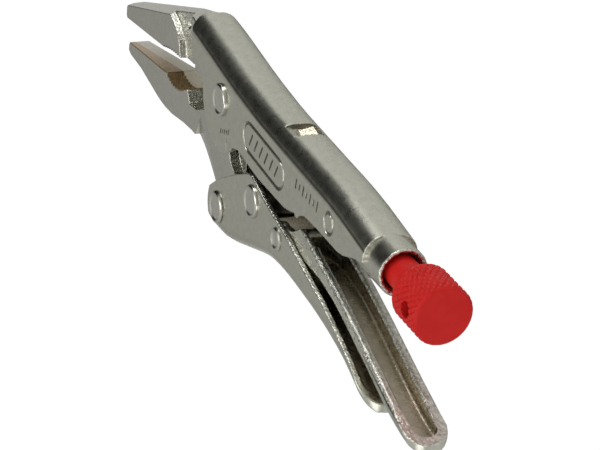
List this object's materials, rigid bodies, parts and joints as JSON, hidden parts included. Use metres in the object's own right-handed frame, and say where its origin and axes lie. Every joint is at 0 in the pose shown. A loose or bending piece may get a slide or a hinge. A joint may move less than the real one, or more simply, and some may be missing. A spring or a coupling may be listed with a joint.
{
  "type": "long-nose locking pliers",
  "caption": "Long-nose locking pliers with serrated recess, over-centre toggle, red screw adjuster knob with tommy-bar hole and nested release lever.",
  "frame": {"origin": "on the main pivot axis, at the plane the tool rests on when it lies on its side", "axes": "+X back along the tool towards the adjusting knob, +Y towards the upper handle, +Z across the tool, up from the rest plane"},
  "size_m": [0.2375, 0.0578, 0.0176],
  "materials": {
    "plated_steel": "satin nickel over a fine blasted surface",
    "forged_steel": "satin nickel over ground forging",
    "rivet_steel": "satin nickel",
    "dark_steel": "oiled dark steel",
    "screw_steel": "bright zinc",
    "red_coat": "satin red coating over fine knurl"
  },
  "bodies": {
    "upper": {"upper_handle": "plated_steel", "fixed_jaw": "forged_steel", "main_rivet": "rivet_steel", "tension_spring": "dark_steel"},
    "jaw": {"moving_jaw": "forged_steel", "jaw_rivet": "rivet_steel"},
    "lower": {"lower_handle": "plated_steel", "toggle_rivet": "rivet_steel", "release_rivet": "rivet_steel"},
    "link": {"toggle_link": "dark_steel"},
    "lever": {"release_lever": "plated_steel"},
    "screw": {"screw_shaft": "screw_steel"},
    "knob": {"adjusting_knob": "red_coat"}
  },
  "joints": [
    {"name": "jaw_pivot", "type": "hinge", "parent": "upper", "child": "jaw", "pos_m": [0, 0, 0.0088], "axis": [0, 0, 1], "range_deg": [0, 13.2], "deforming": ["tension_spring"]},
    {"name": "handle_pivot", "type": "hinge", "parent": "jaw", "child": "lower", "pos_m": [0.0034, -0.0322, 0.0088], "axis": [0, 0, -1], "range_deg": [0, 50]},
    {"name": "toggle_pivot", "type": "hinge", "parent": "lower", "child": "link", "pos_m": [0.0292, -0.0188, 0.0088], "axis": [0, 0, 1], "range_deg": [0, 64.4]},
    {"name": "release_pivot", "type": "hinge", "parent": "lower", "child": "lever", "pos_m": [0.0485, -0.0215, 0.0088], "axis": [0, 0, -1], "range_deg": [0, 3.5]},
    {"name": "screw_slide", "type": "slide", "parent": "upper", "child": "screw", "axis": [1, 0, 0], "range_m": [0, 0.015]},
    {"name": "knob_spin", "type": "hinge", "parent": "screw", "child": "knob", "pos_m": [0.13, -0.0018, 0.0088], "axis": [1, 0, 0], "range_deg": [0, 3600]}
  ],
  "couplings": [
    {"joint": "jaw_pivot", "follows": "handle_pivot", "ratio": 0.26},
    {"joint": "toggle_pivot", "follows": "handle_pivot", "ratio": 1.284},
    {"joint": "knob_spin", "follows": "screw_slide", "rad_per_m": 4188.8}
  ]
}
